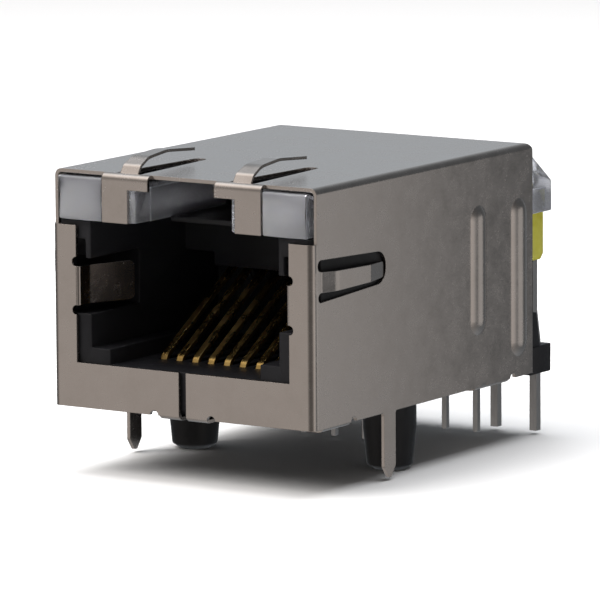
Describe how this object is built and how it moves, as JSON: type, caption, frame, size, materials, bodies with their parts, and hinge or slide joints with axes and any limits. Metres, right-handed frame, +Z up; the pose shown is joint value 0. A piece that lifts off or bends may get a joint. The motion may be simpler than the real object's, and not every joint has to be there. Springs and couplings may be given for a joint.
{
  "type": "board-mounted modular jack",
  "caption": "Shielded right-angle modular jack for a circuit board, with spring contacts, light pipes, rear lamps and magnetics inside.",
  "frame": {"origin": "midway between the two locating pegs, on the circuit board's surface", "axes": "+Z up from the circuit board, -Y out of the plug opening, +X to the right seen from the plug side"},
  "size_m": [0.0174, 0.0246, 0.0175],
  "materials": {
    "plated_sheet": "satin nickel plate",
    "black_moulding": "moulded black, slightly glossy",
    "board_laminate": "solder mask",
    "clear_plastic": "moulded clear, frosted front",
    "lamp_resin": "tinted clear resin",
    "tinned_wire": "matt tin plate",
    "gold_plate": "gold plate",
    "ferrite": "sintered, matt",
    "copper_wire": "enamelled copper",
    "green_wire": "enamelled copper, green",
    "capacitor_ceramic": "fired ceramic",
    "resistor_black": "overglaze"
  },
  "bodies": {
    "root": {"shield": "plated_sheet", "housing": "black_moulding", "contact_carrier": "black_moulding", "pin_base": "black_moulding", "circuit_board": "board_laminate", "light_pipe_left": "clear_plastic", "light_pipe_right": "clear_plastic", "lamp_left": "lamp_resin", "lamp_right": "lamp_resin", "lamp_lead_1": "tinned_wire", "lamp_lead_2": "tinned_wire", "lamp_lead_3": "tinned_wire", "lamp_lead_4": "tinned_wire", "contact_1": "gold_plate", "contact_2": "gold_plate", "contact_3": "gold_plate", "contact_4": "gold_plate", "contact_5": "gold_plate", "contact_6": "gold_plate", "contact_7": "gold_plate", "contact_8": "gold_plate", "signal_pins_rear": "tinned_wire", "signal_pins_inner": "tinned_wire", "transformer_core_1": "ferrite", "transformer_core_2": "ferrite", "transformer_core_3": "ferrite", "transformer_core_4": "ferrite", "transformer_winding_1": "copper_wire", "transformer_winding_2": "copper_wire", "transformer_winding_3": "copper_wire", "transformer_winding_4": "copper_wire", "choke_core_1": "ferrite", "choke_core_2": "ferrite", "choke_core_3": "ferrite", "choke_core_4": "ferrite", "choke_winding_1": "green_wire", "choke_winding_2": "green_wire", "choke_winding_3": "green_wire", "choke_winding_4": "green_wire", "chip_capacitor": "capacitor_ceramic", "chip_resistor_1": "resistor_black", "chip_resistor_2": "resistor_black", "chip_resistor_3": "resistor_black", "chip_resistor_4": "resistor_black"}
  },
  "joints": []
}
